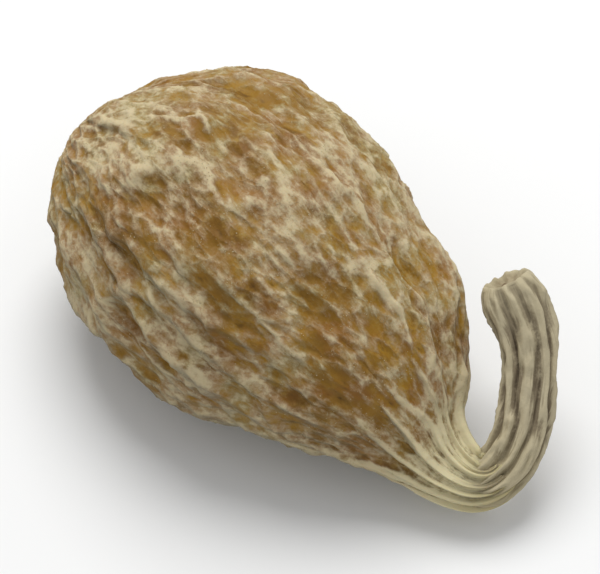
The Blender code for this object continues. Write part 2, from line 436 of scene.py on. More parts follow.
def findRest():
    # the shift from the laid down form to its place on the table, read off the solid's own box
    outline = smoothThrough(fig["outline"], fig["outlineSteps"])
    whole = lineLength(outline)
    low = Vector((1e3, 1e3, 1e3))
    high = -low
    for ring in range(fig["coarseRings"] + 1):
        share = ring / fig["coarseRings"]
        crowded = share - fig["endCrowding"] * math.sin(math.tau * share) / math.tau
        at = pointAt(outline, crowded * whole)
        for side in range(fig["coarseSides"]):
            point = laidDown(skinPoint(at, math.tau * side / fig["coarseSides"])[0])
            low = Vector(map(min, low, point))
            high = Vector(map(max, high, point))
    boxLow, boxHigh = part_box("fruit")
    found = Vector((boxLow.x / mm - low.x, boxLow.y / mm - low.y, boxHigh.z / mm - high.z))
    left = boxHigh / mm - high - found
    left.z = low.z + found.z + fig["pressedDepth"]
    print("fit to the solid, mm:", [round(v, 4) for v in found], "left over:", [round(v, 4) for v in left])
    return found


noise.seed_set(fig["netSeed"])
restShift = findRest()
fig["netEasing"] = 0.72


def placed(point):
    spot = laidDown(point) + restShift
    spot.z = max(0.0, spot.z)
    return spot


# The stalk's route, shared by the stalk and by the collar of skin round its base

stalkForm = {
    "width": 4.5,
    "thickness": 2.9,
    "jointGap": 0.95,
    "socketFloor": 0.965,
    "routeStart": 0.5,
    "route": (
        (0.0, 0.0), (1.4, -0.1), (2.8, 0.9), (4.0, 2.6), (4.9, 5.0),
        (5.4, 8.0), (5.5, 10.6), (5.05, 13.0), (4.25, 15.1), (3.5, 16.8),
    ),
    "azimuth": math.radians(48.0),
    "lean": math.radians(55.0),
    "girth": (
        (0.0, 0.48), (0.05, 0.56), (0.18, 0.92), (0.3, 0.98), (0.6, 1.0), (0.92, 1.16), (1.0, 1.04),
    ),
}


def stalkLine():
    floor = stalkForm["socketFloor"]
    middle = Vector((floor * fig["length"], readTable(fig["sideWander"], floor),
                     readTable(fig["droop"], floor)))
    start = laidDown(middle) + restShift
    outwards = laidDown(Vector((1.0, 0.0, 0.0)))
    across = Vector((math.cos(stalkForm["azimuth"]), math.sin(stalkForm["azimuth"]), 0.0))
    level = Vector((-across.y, across.x, 0.0))
    upwards = level * math.sin(stalkForm["lean"]) + Vector((0.0, 0.0, math.cos(stalkForm["lean"])))
    base = start + outwards * ((1.0 - floor) * fig["length"] + stalkForm["routeStart"])
    route = [start + outwards * stalkForm["jointGap"]]
    route += [base + across * a + upwards * b for a, b in stalkForm["route"]]
    return smoothThrough(route, 12), across.cross(upwards)


stalkPath, stalkFacing = stalkLine()
stalkLength = lineLength(stalkPath)


def lineAxes(line, distance):
    reach = 0.3
    ahead = (pointAt(line, distance + reach) - pointAt(line, max(0.0, distance - reach))).normalized()
    wide = stalkFacing.cross(ahead).normalized()
    return wide, ahead.cross(wide), ahead


# Finishes

def newFinish(name, roughness):
    finish = bpy.data.materials.new(name)
    finish.use_nodes = True
    shader = finish.node_tree.nodes["Principled BSDF"]
    feed(shader, {"Roughness": roughness, "Specular IOR Level": 0.25})  # dry and dull
    return finish, finish.node_tree, shader


def onObject(tree):
    return Field(newNode(tree, "ShaderNodeTexCoord")["Object"])


def attribute(tree, name, output="Fac"):
    return Field(newNode(tree, "ShaderNodeAttribute", attribute_name=name)[output])


def mixed(factor, first, second):
    tree = next(v.tree for v in (factor, first, second) if isinstance(v, Field))
    return Field(newNode(tree, "ShaderNodeMix", {0: factor, 6: first, 7: second}, data_type="RGBA")[2])


def layered(colour, look, *layers):
    # lays colours over the first, each where its own mask says
    for cover, name in layers:
        colour = mixed(cover, colour, look[name])
    return colour


def bumped(shader, height, strength, distance):
    bump = newNode(height.tree, "ShaderNodeBump", {
        "Strength": strength, "Distance": distance, "Height": height,
    })
    plug(bump[0], shader.inputs["Normal"])


def placeGroup(group, inputs):
    outputs = newNode(inputs["Place"].tree, "ShaderNodeGroup", inputs, node_tree=group)
    return {socket.name: Field(socket) for socket in outputs}


dustMake = {
    "patchiness": 1.9,
    "speckle": 1.4,
    "coverStep": (0.12, 0.98),
    "thickStep": (0.55, 1.25),
}


def flourDust():
    # powder that clings to what stands out, thinned in patches and down to single specks
    tree, given = newTree("ShaderNodeTree", "flour dust", {
        "Place": (0.0, 0.0, 0.0), "Raised": 0.5, "Amount": 0.5, "Patch Size": 0.006, "Speck Size": 0.0004,
    }, ("Cover", "Thick"))
    patches = noiseValue(given["Place"], 1.0 / given["Patch Size"], 3.5, 0.75)
    specks = noiseValue(given["Place"], 1.0 / given["Speck Size"], 3.0, 0.75)
    total = given["Raised"] + given["Amount"]
    total = total + (patches - 0.5) * dustMake["patchiness"] + (specks - 0.5) * dustMake["speckle"]
    newNode(tree, "NodeGroupOutput", {
        "Cover": softStep(total, *dustMake["coverStep"]), "Thick": softStep(total, *dustMake["thickStep"]),
    })
    return tree


def dryGrain():
    # small uneven shade and pitting of dry plant skin
    tree, given = newTree("ShaderNodeTree", "dry grain", {"Place": (0.0, 0.0, 0.0), "Size": 0.0008},
                          ("Shade", "Height"))
    pace = 1.0 / given["Size"]
    shade = noiseValue(given["Place"], pace, 4.0, 0.65)
    fine = noiseValue(given["Place"], pace * 3.1, 3.0, 0.6)
    newNode(tree, "NodeGroupOutput", {"Shade": shade, "Height": shade * 0.6 + fine * 0.4})
    return tree


flourDustGroup = flourDust()
dryGrainGroup = dryGrain()

skinMake = {
    "rings": 203,
    "sides": 380,
    "flourPull": 0.52,
    "thinning": 0.62,  # under 1, the fine net has fewer cells round where the fruit is thin
    "collarFrom": 0.92,  # share of the length where the neck starts to bend round to the stalk
    "collarEnd": 4.5,  # how far up the stalk it runs
    "collarRings": 46,
    "collarRib": 0.44,
    "collarLip": ((0.6, 1.1), (1.0, 0.95)),  # its girth over the stalk's, along the collar
    "collarRagged": 0.8,  # how uneven its end is, mm
    "raggedPace": 3.0,
    "raggedPlace": 5.0,
    "collarRibMiddle": 0.4,
    "collarSmoothing": 0.5,  # how far its ribs, relief and creases die down
    "collarFade": 0.7,
    "collarCrease": 0.6,
    "collarPale": 1.5,
    "collarClose": ((0.0, 0.93), (0.5, 0.8), (0.9, 0.45)),  # how far back in, share of its lip
    "collarBark": ((0.35, 0.0), (0.95, 1.0)),  # where it takes the stalk's colours
    "guideSteps": 60,
    "guidePull": 0.4,
    "guideProbe": 0.02,
    "easing": 6,
    "eyeTint": 2.6,
    "neckTint": (0.86, 0.985),
    "ribFloor": 0.1,
    "leastGirth": 0.4,
    "patchPace": 0.16,
    "patchStep": (0.35, 0.65, 0.45, 1.0),
    "wrinklePace": (0.5, 1.1, 1.1),
    "crumpleStretch": (0.6, 1.0, 1.0),
    "netMiddle": 0.38,
    "fineMiddle": 0.4,
    "underStep": (0.55, -0.25),
    "Net Length": 6.4,
    "Net Width": 3.0,
    "Net Ridge": 0.62,
    "Net Height": 0.62,
    "Net Warp": 0.6,
    "Fine Length": 2.5,
    "Fine Width": 1.25,
    "Fine Ridge": 0.28,
    "Fine Height": 0.26,
    "Fine Warp": 0.7,
    "Wrinkle Height": 0.16,
    "Crumple Size": 2.6,
    "Crumple Height": 0.75,
}

# more flour, or less, in places: share of length, degrees round, reach in mm, amount
flourPlaces = (
    (0.07, 130.0, 4.5, 0.08), (0.19, 126.0, 3.0, 0.06), (0.37, 86.0, 3.0, 0.32), (0.5, 80.0, 4.6, 0.4),
    (0.61, 50.0, 3.6, 0.3), (0.56, 115.0, 2.2, 0.35), (0.63, 129.0, 2.2, 0.35), (0.8, 57.0, 4.0, 0.3),
    (0.25, 94.0, 3.2, -0.38), (0.39, 112.0, 2.8, -0.38), (0.37, 129.0, 3.0, -0.38),
    (0.48, 124.0, 2.6, -0.38), (0.24, 141.0, 2.6, -0.3), (0.57, 97.0, 3.4, -0.4),
    (0.67, 105.0, 3.8, -0.45), (0.69, 56.0, 3.2, -0.35), (0.53, 136.0, 2.6, -0.35),
    (0.74, 128.0, 2.8, -0.42), (0.84, 145.0, 3.2, -0.38), (0.32, 46.0, 3.4, -0.38),
    (0.24, 57.0, 3.4, -0.25), (0.3, -50.0, 4.5, -0.35), (0.55, -110.0, 5.0, 0.3),
    (0.62, -20.0, 4.5, -0.35), (0.42, 10.0, 4.5, 0.3), (0.45, -160.0, 5.0, -0.35),
    (0.22, -100.0, 4.5, 0.3), (0.75, -70.0, 4.0, -0.35),
)


def flouredAt(share, radius, angle):
    found = 0.0
    for where, degrees, reach, amount in flourPlaces:
        along = (share - where) * fig["length"]
        around = radius * math.remainder(angle - math.radians(degrees), math.tau)
        found += amount * math.exp(-(along**2 + around**2) / reach**2)
    return skinMake["flourPull"] * found


skinLook = {
    "amber": (0.29, 0.152, 0.01, 1.0),
    "amberDeep": (0.165, 0.078, 0.006, 1.0),
    # painted shade: dark amber in the pits between the raised net
    "amberPitShade": (0.1, 0.046, 0.005, 1.0),
    # painted shade in the grooves between the neck's ribs
    "grooveShade": (0.11, 0.07, 0.024, 1.0),
    "amberPale": (0.33, 0.205, 0.045, 1.0),
    "amberRed": (0.215, 0.088, 0.012, 1.0),
    "amberBare": (0.2, 0.095, 0.008, 1.0),
    # painted shade: darker amber on the skin that faces down
    "amberUnderShade": (0.105, 0.074, 0.028, 1.0),
    "powder": (0.345, 0.278, 0.136, 1.0),
    "powderPink": (0.375, 0.268, 0.155, 1.0),
    "powderThick": (0.53, 0.44, 0.266, 1.0),
    # grey dust on the underside, darkened further as painted shade
    "powderGreyAndShade": (0.15, 0.138, 0.095, 1.0),
    "neck": (0.68, 0.615, 0.38, 1.0),
    "eye": (0.12, 0.062, 0.028, 1.0),
    "roughness": 0.55,
    "powderRoughness": 0.9,
    "amount": -0.005,
    "neckAmount": 0.05,
    "underAmount": 0.04,
    "eyeAmount": 0.4,
    "netShare": 0.52,
    "fineShare": 0.4,
    "coarseShare": 0.14,
    "strokeShare": 1.8,
    "strokePace": (0.68, 1.55, 1.55),
    "ribShare": 1.4,
    "creaseShare": 8.5,
    # where each colour starts and is full, and how strong it is there
    "amberStep": (0.38, 0.58),
    "paleStep": (0.45, 0.75),
    "bareStep": (-0.22, -0.05, 0.6, 0.0),
    "redStep": (0.5, 0.66, 0.0, 0.7),
    "pitShadeStep": (-0.2, 0.32, 1.0, 0.0),
    "grooveShadeStep": (0.15, 0.6, 1.0, 0.0),
    "underShadeTint": 0.6,
    "pinkStep": (0.36, 0.56),
    "greyShadeTint": 0.7,
    "eyeStep": (0.15, 0.7),
    "barkStep": (0.36, 0.66),
    "fibreRib": 0.25,
    "broadPace": (0.12, 0.3, 0.3),
    "blushPace": 260.0,
    "fibrePace": (0.3, 3.0, 3.0),
    "patchSize": 0.0085,
    "speckSize": 0.00085,
    "grainSize": 0.0009,
    "bump": 0.6,
    "bumpDepth": 0.0002,
}


def standingOut(space, read):
    # how much the skin stands out at a point, from every size of ridge
    net, fine = (netLayer(space, skinMake, size) for size in ("Net", "Fine"))
    strokes = noiseValue(space * skinLook["strokePace"], 1.0, 4.0, 0.6)
    raised = net * skinLook["netShare"]
    for mask, share in (
        (fine, "fineShare"), (read("coarse"), "coarseShare"), (strokes - 0.5, "strokeShare"),
        (read("rib"), "ribShare"), (maths("POWER", read("crease"), 2.0), "creaseShare"),
    ):
        raised = raised + mask * skinLook[share]
    return raised, fine


def amberSkin():
    finish, tree, shader = newFinish("amberSkin", skinLook["roughness"])
    place = onObject(tree)
    space = attribute(tree, "skinSpace", "Vector")
    neckward, eyeward, under, floured, rib, barkward = (
        attribute(tree, name) for name in ("neckward", "eyeward", "under", "floured", "rib", "barkward")
    )
    raised, fine = standingOut(space, lambda name: attribute(tree, name))
    grain = placeGroup(dryGrainGroup, {"Place": place, "Size": skinLook["grainSize"]})
    broad = noiseValue(space * skinLook["broadPace"], 1.0, 3.0, 0.55)
    blush = noiseValue(place, skinLook["blushPace"], 4.0, 0.6)
    amber = mixed(softStep(broad, *skinLook["amberStep"]), skinLook["amberDeep"], skinLook["amber"])
    amber = layered(
        amber, skinLook,
        (softStep(grain["Shade"], *skinLook["paleStep"]), "amberPale"),
        (softStep(floured, *skinLook["bareStep"]), "amberBare"),
        (softStep(blush, *skinLook["redStep"]), "amberRed"),
        # painted shade where the skin sinks between its ridges
        (softStep(raised, *skinLook["pitShadeStep"]), "amberPitShade"),
        # painted shade in the neck's rib grooves
        (neckward * softStep(rib, *skinLook["grooveShadeStep"]), "grooveShade"),
        # painted shade on the underside, by how far the skin faces down
        (under * skinLook["underShadeTint"], "amberUnderShade"),
    )
    amount = neckward * skinLook["neckAmount"] + skinLook["amount"] + under * skinLook["underAmount"]
    dust = placeGroup(flourDustGroup, {
        "Place": place, "Raised": raised, "Amount": amount - eyeward * skinLook["eyeAmount"] + floured,
        "Patch Size": skinLook["patchSize"], "Speck Size": skinLook["speckSize"],
    })
    powder = mixed(softStep(blush, *skinLook["pinkStep"]), skinLook["powder"], skinLook["powderPink"])
    powder = layered(powder, skinLook, (dust["Thick"], "powderThick"),
                     # the underside's powder is grey dust with painted shade laid in
                     (under * skinLook["greyShadeTint"], "powderGreyAndShade"), (neckward, "neck"))
    colour = mixed(dust["Cover"], amber, powder)
    colour = layered(colour, skinLook, (softStep(eyeward, *skinLook["eyeStep"]), "eye"))
    fibre = noiseValue(space * skinLook["fibrePace"], 1.0, 4.0, 0.6) + rib * skinLook["fibreRib"]
    bark = mixed(softStep(fibre, *skinLook["barkStep"]), barkLook["buff"], barkLook["base"])
    roughness = newNode(tree, "ShaderNodeMapRange", {
        "Value": dust["Cover"], "To Min": skinLook["roughness"], "To Max": skinLook["powderRoughness"],
    })
    feed(shader, {
        "Base Color": mixed(barkward, colour, bark),
        "Roughness": roughness[0],
        "Subsurface Weight": 0.1,
        "Subsurface Radius": (1.0, 0.5, 0.2),
        "Subsurface Scale": 0.0008,
    })
    height = grain["Height"] + dust["Cover"] * 0.5 + fine * 0.5
    bumped(shader, height, skinLook["bump"], skinLook["bumpDepth"])
    return finish


barkLook = {
    "buff": (0.215, 0.172, 0.108, 1.0),
    # dark: painted shade in the rib grooves, and the stalk's darker fibre streaks
    "dark": (0.055, 0.037, 0.02, 1.0),
    "crest": (0.5, 0.435, 0.29, 1.0),
    "pale": (0.44, 0.378, 0.245, 1.0),
    "base": (0.43, 0.375, 0.205, 1.0),
    "cut": (0.47, 0.41, 0.265, 1.0),
    "pith": (0.15, 0.092, 0.045, 1.0),
    "roughness": 0.85,
    "streakPace": (0.22, 3.6, 3.6),
    "ridgeTone": 0.55,
    "streakTone": 0.85,
    "buffStep": (0.42, 0.68),
    "crestStep": (0.66, 0.8),
    "baseTint": 0.6,
    "flourTint": 0.8,
    "cutTint": 0.75,
    "pithStep": (0.3, 0.62, 1.0, 0.35),
    "streakRelief": 0.8,
    "patchSize": 0.005,
    "speckSize": 0.0004,
    "grainSize": 0.0009,
    "amount": -0.1,
    "bump": 0.6,
    "bumpDepth": 0.00018,
}


def stalkFinish():
    finish, tree, shader = newFinish("buffStalk", barkLook["roughness"])
    place = onObject(tree)
    ridge, footward, cut, pith = (attribute(tree, name) for name in ("ridge", "footward", "cut", "pith"))
    streaks = noiseValue(attribute(tree, "barkSpace", "Vector") * barkLook["streakPace"], 1.0, 5.0, 0.65)
    grain = placeGroup(dryGrainGroup, {"Place": place, "Size": barkLook["grainSize"]})
    # the tone sinks in the rib grooves, as painted shade, and along the fibre streaks, the stalk's own
    # colour
    tone = ridge * barkLook["ridgeTone"] + streaks * barkLook["streakTone"]
    colour = mixed(softStep(tone, *barkLook["buffStep"]), barkLook["dark"], barkLook["buff"])
    colour = mixed(softStep(tone, *barkLook["crestStep"]), colour, barkLook["crest"])
    colour = mixed(footward, colour, mixed(barkLook["baseTint"], colour, barkLook["base"]))
    dust = placeGroup(flourDustGroup, {
        "Place": place, "Raised": ridge, "Amount": barkLook["amount"],
        "Patch Size": barkLook["patchSize"], "Speck Size": barkLook["speckSize"],
    })
    colour = layered(
        colour, barkLook,
        (dust["Cover"] * barkLook["flourTint"], "pale"),
        (cut * barkLook["cutTint"], "cut"),
        (pith * softStep(grain["Shade"], *barkLook["pithStep"]), "pith"),
    )
    plug(colour, shader.inputs["Base Color"])
    height = streaks * barkLook["streakRelief"] + grain["Height"]
    bumped(shader, height, barkLook["bump"], barkLook["bumpDepth"])
    return finish


crumbLook = {
    "dull": (0.3, 0.235, 0.12, 1.0),
    "bright": (0.5, 0.42, 0.26, 1.0),
    "tonePace": 420.0,
    "toneStep": (0.3, 0.7),
    "grainSize": 0.0002,
    "bump": 0.4,
    "bumpDepth": 0.00004,
}


def flourFinish():
    finish, tree, shader = newFinish("flourCrumb", 0.95)
    place = onObject(tree)
    tone = softStep(noiseValue(place, crumbLook["tonePace"]), *crumbLook["toneStep"])
    plug(mixed(tone, crumbLook["dull"], crumbLook["bright"]), shader.inputs["Base Color"])
    grain = placeGroup(dryGrainGroup, {"Place": place, "Size": crumbLook["grainSize"]})
    bumped(shader, grain["Height"], crumbLook["bump"], crumbLook["bumpDepth"])
    return finish


scaleLook = {
    "brown": (0.13, 0.065, 0.024, 1.0),
    "tan": (0.32, 0.185, 0.07, 1.0),
    "flour": (0.4, 0.315, 0.18, 1.0),
    "grainSize": 0.0006,
    "dust": {"Raised": 0.3, "Amount": 0.2, "Patch Size": 0.002, "Speck Size": 0.0003},
    "bump": 0.5,
    "bumpDepth": 0.0001,
}


def scaleFinish():
    finish, tree, shader = newFinish("eyeScale", 0.7)
    place = onObject(tree)
    grain = placeGroup(dryGrainGroup, {"Place": place, "Size": scaleLook["grainSize"]})
    dust = placeGroup(flourDustGroup, {"Place": place, **scaleLook["dust"]})
    brown = mixed(grain["Shade"], scaleLook["brown"], scaleLook["tan"])
    plug(mixed(dust["Cover"], brown, scaleLook["flour"]), shader.inputs["Base Color"])
    bumped(shader, grain["Height"], scaleLook["bump"], scaleLook["bumpDepth"])
    return finish


# The skin: a fine loft of the fruit's form that runs on as a collar up the stalk's base

def skinRings():
    # every ring's points, with what the finish needs to know at each
    outline = smoothThrough(fig["outline"], fig["outlineSteps"])
    toMouth = outline[: fig["mouthPlace"] * fig["outlineSteps"] + 1]
    toMouth = [p for p in toMouth if p.x < skinMake["collarFrom"]]
    whole = lineLength(toMouth)
    sides = skinMake["sides"]
    rings = []
    for ring in range(1, skinMake["rings"] + 1):
        at = pointAt(toMouth, whole * ring / skinMake["rings"])
        radius = at.y * fig["bellyRadius"]
        girth = at.y ** skinMake["thinning"]
        neckward = readTable(tuple(zip(skinMake["neckTint"], (0.0, 1.0))), at.x)
        eyeward = max(0.0, 1.0 - radius / skinMake["eyeTint"]) if at.x < fig["eyeEnd"] else 0.0
        row = []
        for side in range(sides):
            angle = math.tau * side / sides
            point, coarse, fade, rib = skinPoint(at, angle)
            row.append({
                "co": placed(point),
                "space": aroundX(at.x * fig["length"], fig["bellyRadius"] * girth, angle),
                "coarse": coarse,
                "crease": creaseAt(at.x, radius, angle),
                "rib": readTable(((skinMake["ribFloor"], 0.0), (fig["ribCrest"], 1.0)), rib),
                "narrow": max(skinMake["leastGirth"], girth),
                "fade": fade,
                "neckward": neckward,
                "barkward": 0.0,
                "floured": flouredAt(at.x, radius, angle),
                "eyeward": eyeward,
            })
        rings.append(row)
    return rings


def neckGuide(last):
    # the middle line from the neck's last ring round the bend to the stalk's path
    share = skinMake["collarFrom"]
    probe = skinMake["guideProbe"]
    slope = []
    for table in (fig["sideWander"], fig["droop"]):
        rise = readTable(table, share + probe) - readTable(table, share - probe)
        slope.append(rise / (2 * probe * fig["length"]))
    leave = laidDown(Vector((1.0, *slope))).normalized()
    arrive = lineAxes(stalkPath, skinMake["collarEnd"])[2]
    start = sum((p["co"] for p in last), Vector()) / len(last)
    end = pointAt(stalkPath, skinMake["collarEnd"])
    pull = skinMake["guidePull"] * (end - start).length
    line = []
    for step in range(skinMake["guideSteps"] + 1):
        t = step / skinMake["guideSteps"]
        line.append(start * (1 - t) ** 3 + (start + leave * pull) * 3 * t * (1 - t) ** 2
                    + (end - arrive * pull) * 3 * t * t * (1 - t) + end * t**3)
    return line


def collarRings(last):
    # the neck's last ring, carried along the guide and eased into the stalk's section
    guide = neckGuide(last)
    whole = lineLength(guide)
    wide, thick, ahead = lineAxes(guide, 0.0)
    offsets = [p["co"] - guide[0] for p in last]
    parts = [(o.dot(wide), o.dot(thick), o.dot(ahead)) for o in offsets]
    girth = readTable(stalkForm["girth"], skinMake["collarEnd"] / stalkLength)
    pace = skinMake["raggedPace"]
    rings = []
    for ring in range(1, skinMake["collarRings"] + 1):
        u = ring / skinMake["collarRings"]
        ease = u * (2 - u)
        middle = pointAt(guide, u * whole)
        wideNow, thickNow, aheadNow = lineAxes(guide, u * whole)
        lip = girth * readTable(skinMake["collarLip"], u)
        halfWide = 0.5 * stalkForm["width"] * lip
        halfThick = 0.5 * stalkForm["thickness"] * lip
        row = []
        for point, (a, b, c) in zip(last, parts):
            turn = math.atan2(b / halfThick, a / halfWide)
            rib = skinMake["collarRib"] * (point["rib"] - skinMake["collarRibMiddle"])
            rib = 1.0 + rib * (1 - skinMake["collarSmoothing"] * ease)
            a = a * (1 - ease) + halfWide * rib * math.cos(turn) * ease
            b = b * (1 - ease) + halfThick * rib * math.sin(turn) * ease
            spot = Vector((pace * math.cos(turn), pace * math.sin(turn), skinMake["raggedPlace"]))
            edge = skinMake["collarRagged"] * noise.noise(spot)
            c = c * (1 - ease) + edge * u**3
            row.append(dict(
                point, co=middle + wideNow * a + thickNow * b + aheadNow * c,
                space=point["space"] + Vector((u * whole, 0.0, 0.0)),
                fade=point["fade"] * (1 - skinMake["collarFade"] * ease),
                crease=point["crease"] * (1 - skinMake["collarCrease"] * u),
                neckward=point["neckward"] + (1 - point["neckward"]) * min(1.0, skinMake["collarPale"] * u),
                barkward=readTable(skinMake["collarBark"], u),
            ))
        rings.append(row)
    return rings


def easeRings(rings, first, last, rounds):
    # rounds off the turn from the neck into the collar
    for _ in range(rounds):
        before = [[p["co"] for p in row] for row in rings[first - 1 : last + 2]]
        for k, row in enumerate(rings[first : last + 1], start=1):
            for side, point in enumerate(row):
                along = before[k - 1][side] + before[k + 1][side]
                around = before[k][side - 1] + before[k][(side + 1) % len(row)]
                point["co"] = before[k][side] * 0.4 + along * 0.2 + around * 0.1


def closingRings(lip):
    # turns the collar's edge in under itself, where the stalk hides it
    middle = pointAt(stalkPath, skinMake["collarEnd"])
    ahead = lineAxes(stalkPath, skinMake["collarEnd"])[2]
    rings = []
    for back, shrink in skinMake["collarClose"]:
        row = []
        for point in lip:
            spoke = point["co"] - middle
            row.append(dict(point, co=middle + spoke * shrink - ahead * back, fade=0.0))
        rings.append(row)
    return rings


def lofted(name, rings, firstPole, lastPole):
    sides = len(rings[0])
    points = [firstPole] + [p for row in rings for p in row] + [lastPole]
    faces = []
    for side in range(sides):
        after = (side + 1) % sides
        faces.append((0, 1 + after, 1 + side))
        last = 1 + (len(rings) - 1) * sides
        faces.append((last + side, last + after, len(points) - 1))
    for ring in range(len(rings) - 1):
        row = 1 + ring * sides
        for side in range(sides):
            after = (side + 1) % sides
            faces.append((row + side, row + after, row + sides + after, row + sides + side))
    mesh = bpy.data.meshes.new(name)
    mesh.from_pydata([p["co"] * mm for p in points], [], faces)
    setValues(mesh, "skinSpace", [p["space"] for p in points])
    for key in ("coarse", "crease", "rib", "narrow", "fade", "neckward", "eyeward", "barkward", "floured"):
        setValues(mesh, key, [float(p[key]) for p in points])
    return mesh


def poleOf(row):
    middle = sum((p["co"] for p in row), Vector()) / len(row)
    return dict(row[0], co=middle, fade=0.0)


def skinTree(finish):
    tree, given = newTree("GeometryNodeTree", "shrunken skin", {"Body": None, **knobsOf(skinMake)})
    space = readSet(tree, "skinSpace", "FLOAT_VECTOR")
    net, fine = (netLayer(space, given, size) for size in ("Net", "Fine"))
    patches = softStep(noiseValue(space, skinMake["patchPace"]), *skinMake["patchStep"])
    wrinkle = noiseValue(space * skinMake["wrinklePace"], 1.0, 3.0, 0.6)
    crumple = noiseValue(space * skinMake["crumpleStretch"], 1.0 / given["Crumple Size"])
    height = (net - skinMake["netMiddle"]) * given["Net Height"] * patches
    height = height + (fine - skinMake["fineMiddle"]) * given["Fine Height"]
    height = height + (wrinkle - 0.5) * given["Wrinkle Height"] * 2.0
    height = height + (crumple - 0.5) * given["Crumple Height"]
    lift = height * readSet(tree, "fade") * (readSet(tree, "narrow") * mm) + readSet(tree, "crease") * mm
    normal = newField(tree, "GeometryNodeInputNormal")
    body = movedBy(given["Body"], normal * lift)
    sunk = maths("MAXIMUM", heightOf(newField(tree, "GeometryNodeInputPosition")) * -1.0, 0.0)
    body = movedBy(body, joinXyz(tree, 0.0, 0.0, sunk))  # the table stops the underside
    # how far the skin faces down: it sets the painted shade on the underside and the extra dust there
    body = storeSet(body, "under", softStep(heightOf(normal), *skinMake["underStep"]))
    return endTree(tree, body, finish)


def makeSkin():
    rings = skinRings()
    collar = collarRings(rings[-1])
    mouth = len(rings)
    rings += collar
    easeRings(rings, mouth - 4, mouth + 4, skinMake["easing"])
    rings += closingRings(collar[-1])
    mesh = lofted("figSkin", rings, poleOf(rings[0]), poleOf(rings[-1]))
    body = bareObject("figSkinBody", mesh)
    return runTree("figSkin", body, skinTree(amberSkin()), skinMake)


figSkin = makeSkin()
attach(figSkin, "root")
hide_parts("fruit")
print("skin made:", len(figSkin.data.polygons), "faces")


# The stalk: a ribbed strap swept along its route

barkMake = {
    "steps": 150,
    "Half Width": 2.25,
    "Half Thickness": 1.45,
    "Sides": 120,
    "Ribs": 9.0,
    "Rib Depth": 0.55,
    "Fibre Depth": 0.19,
    "ribSwayPace": (0.16, 0.5, 0.5),
    "ribSway": 1.6,
    "ribSharpness": 1.4,
    "ribMiddle": 0.6,
    "fibrePace": (0.2, 3.0, 3.0),
    "ridgeShares": (0.6, 0.5),  # of rib and fibre, for the finish
    "ribsFullAt": 3.0,
    "ribsAtCut": 0.3,
    "ribsFadeOver": 2.5,
    "footReach": 9.0,
    "tilt": 0.34,  # how far the cut leans towards the fig's upper side, as a slope
    "tiltReach": 2.2,
    "cutNear": 6.0,
    "rimRound": 0.55,
    "rimShrink": 0.1,
    "ovalPull": 2.5,
    "cutPace": 1.7,
    "cutRough": 0.45,
    "tintNear": 7.0,
    "cutTint": ((1.2, 0.9), (0.6, 9.0)),  # its strength at the cut and how far back it runs, mm
    "pithEdge": (0.85, 0.45),  # where the dark middle ends, and how softly
    # from the rim inwards: share of the rim's size, and how far out or in, mm
    "cutRings": (
        (0.95, 0.1), (0.87, 0.13), (0.78, 0.04), (0.66, -0.18), (0.5, -0.32), (0.3, -0.3), (0.12, -0.22),
    ),
}


def stalkTree(finish):
    tree, given = newTree("GeometryNodeTree", "ribbed stalk", {"Route": None, **knobsOf(barkMake)})
    curve = newNode(tree, "GeometryNodeMeshToCurve", {0: given["Route"]})
    normals = newNode(tree, "GeometryNodeSetCurveNormal", {"Curve": curve[0], "Normal": tuple(stalkFacing)},
                      mode="FREE")
    ring = newNode(tree, "GeometryNodeCurvePrimitiveCircle", {"Resolution": given["Sides"], "Radius": 1.0})
    turn = newField(tree, "GeometryNodeSplineParameter") * math.tau
    size = joinXyz(tree, given["Half Thickness"], given["Half Width"], 0.0)
    position = newField(tree, "GeometryNodeInputPosition") * size * mm
    profile = newNode(tree, "GeometryNodeSetPosition", {
        "Geometry": storeSet(ring[0], "around", turn), "Position": position,
    })
    sweep = newNode(tree, "GeometryNodeCurveToMesh", {
        "Curve": normals[0], "Profile Curve": profile[0], "Fill Caps": True,
        "Scale": readSet(tree, "girth"),
    })
    around = readSet(tree, "around")
    space = joinXyz(tree, readSet(tree, "along"), maths("COSINE", around) * given["Half Width"],
                    maths("SINE", around) * given["Half Width"])
    bark = storeSet(sweep[0], "barkSpace", space)
    space = readSet(tree, "barkSpace", "FLOAT_VECTOR")
    phase = around + noiseValue(space * barkMake["ribSwayPace"], 1.0) * barkMake["ribSway"]
    wave = maths("ABSOLUTE", maths("SINE", phase * (given["Ribs"] * 0.5)))
    rib = 1.0 - maths("POWER", wave, barkMake["ribSharpness"])
    fibre = noiseValue(space * barkMake["fibrePace"], 1.0, 3.0, 0.6)
    height = (rib - barkMake["ribMiddle"]) * given["Rib Depth"]
    height = height + (fibre - 0.5) * (given["Fibre Depth"] * 3.0)
    ribShare, fibreShare = barkMake["ridgeShares"]
    bark = storeSet(bark, "ridge", rib * ribShare + fibre * fibreShare)
    lift = height * readSet(tree, "ribbed") * mm
    return endTree(tree, movedBy(bark, newField(tree, "GeometryNodeInputNormal") * lift), finish)


def ribbedAt(distance):
    toCut = barkMake["ribsAtCut"] + (stalkLength - distance) / barkMake["ribsFadeOver"]
    return min(1.0, distance / barkMake["ribsFullAt"], toCut)


def makeStalk():
    steps = barkMake["steps"]
    mesh = bpy.data.meshes.new("stalkRoute")
    distances = [stalkLength * step / steps for step in range(steps + 1)]
    points = [pointAt(stalkPath, d) * mm for d in distances]
    mesh.from_pydata(points, [(i, i + 1) for i in range(steps)], [])
    setValues(mesh, "girth", [readTable(stalkForm["girth"], d / stalkLength) for d in distances])
    setValues(mesh, "along", distances)
    setValues(mesh, "ribbed", [ribbedAt(d) for d in distances])
    setValues(mesh, "footward", [max(0.0, 1.0 - d / barkMake["footReach"]) for d in distances])
    route = bareObject("stalkRoute", mesh)
    piece = runTree("stalkBark", route, stalkTree(stalkFinish()), barkMake)
    dishCut(piece.data)
    return piece


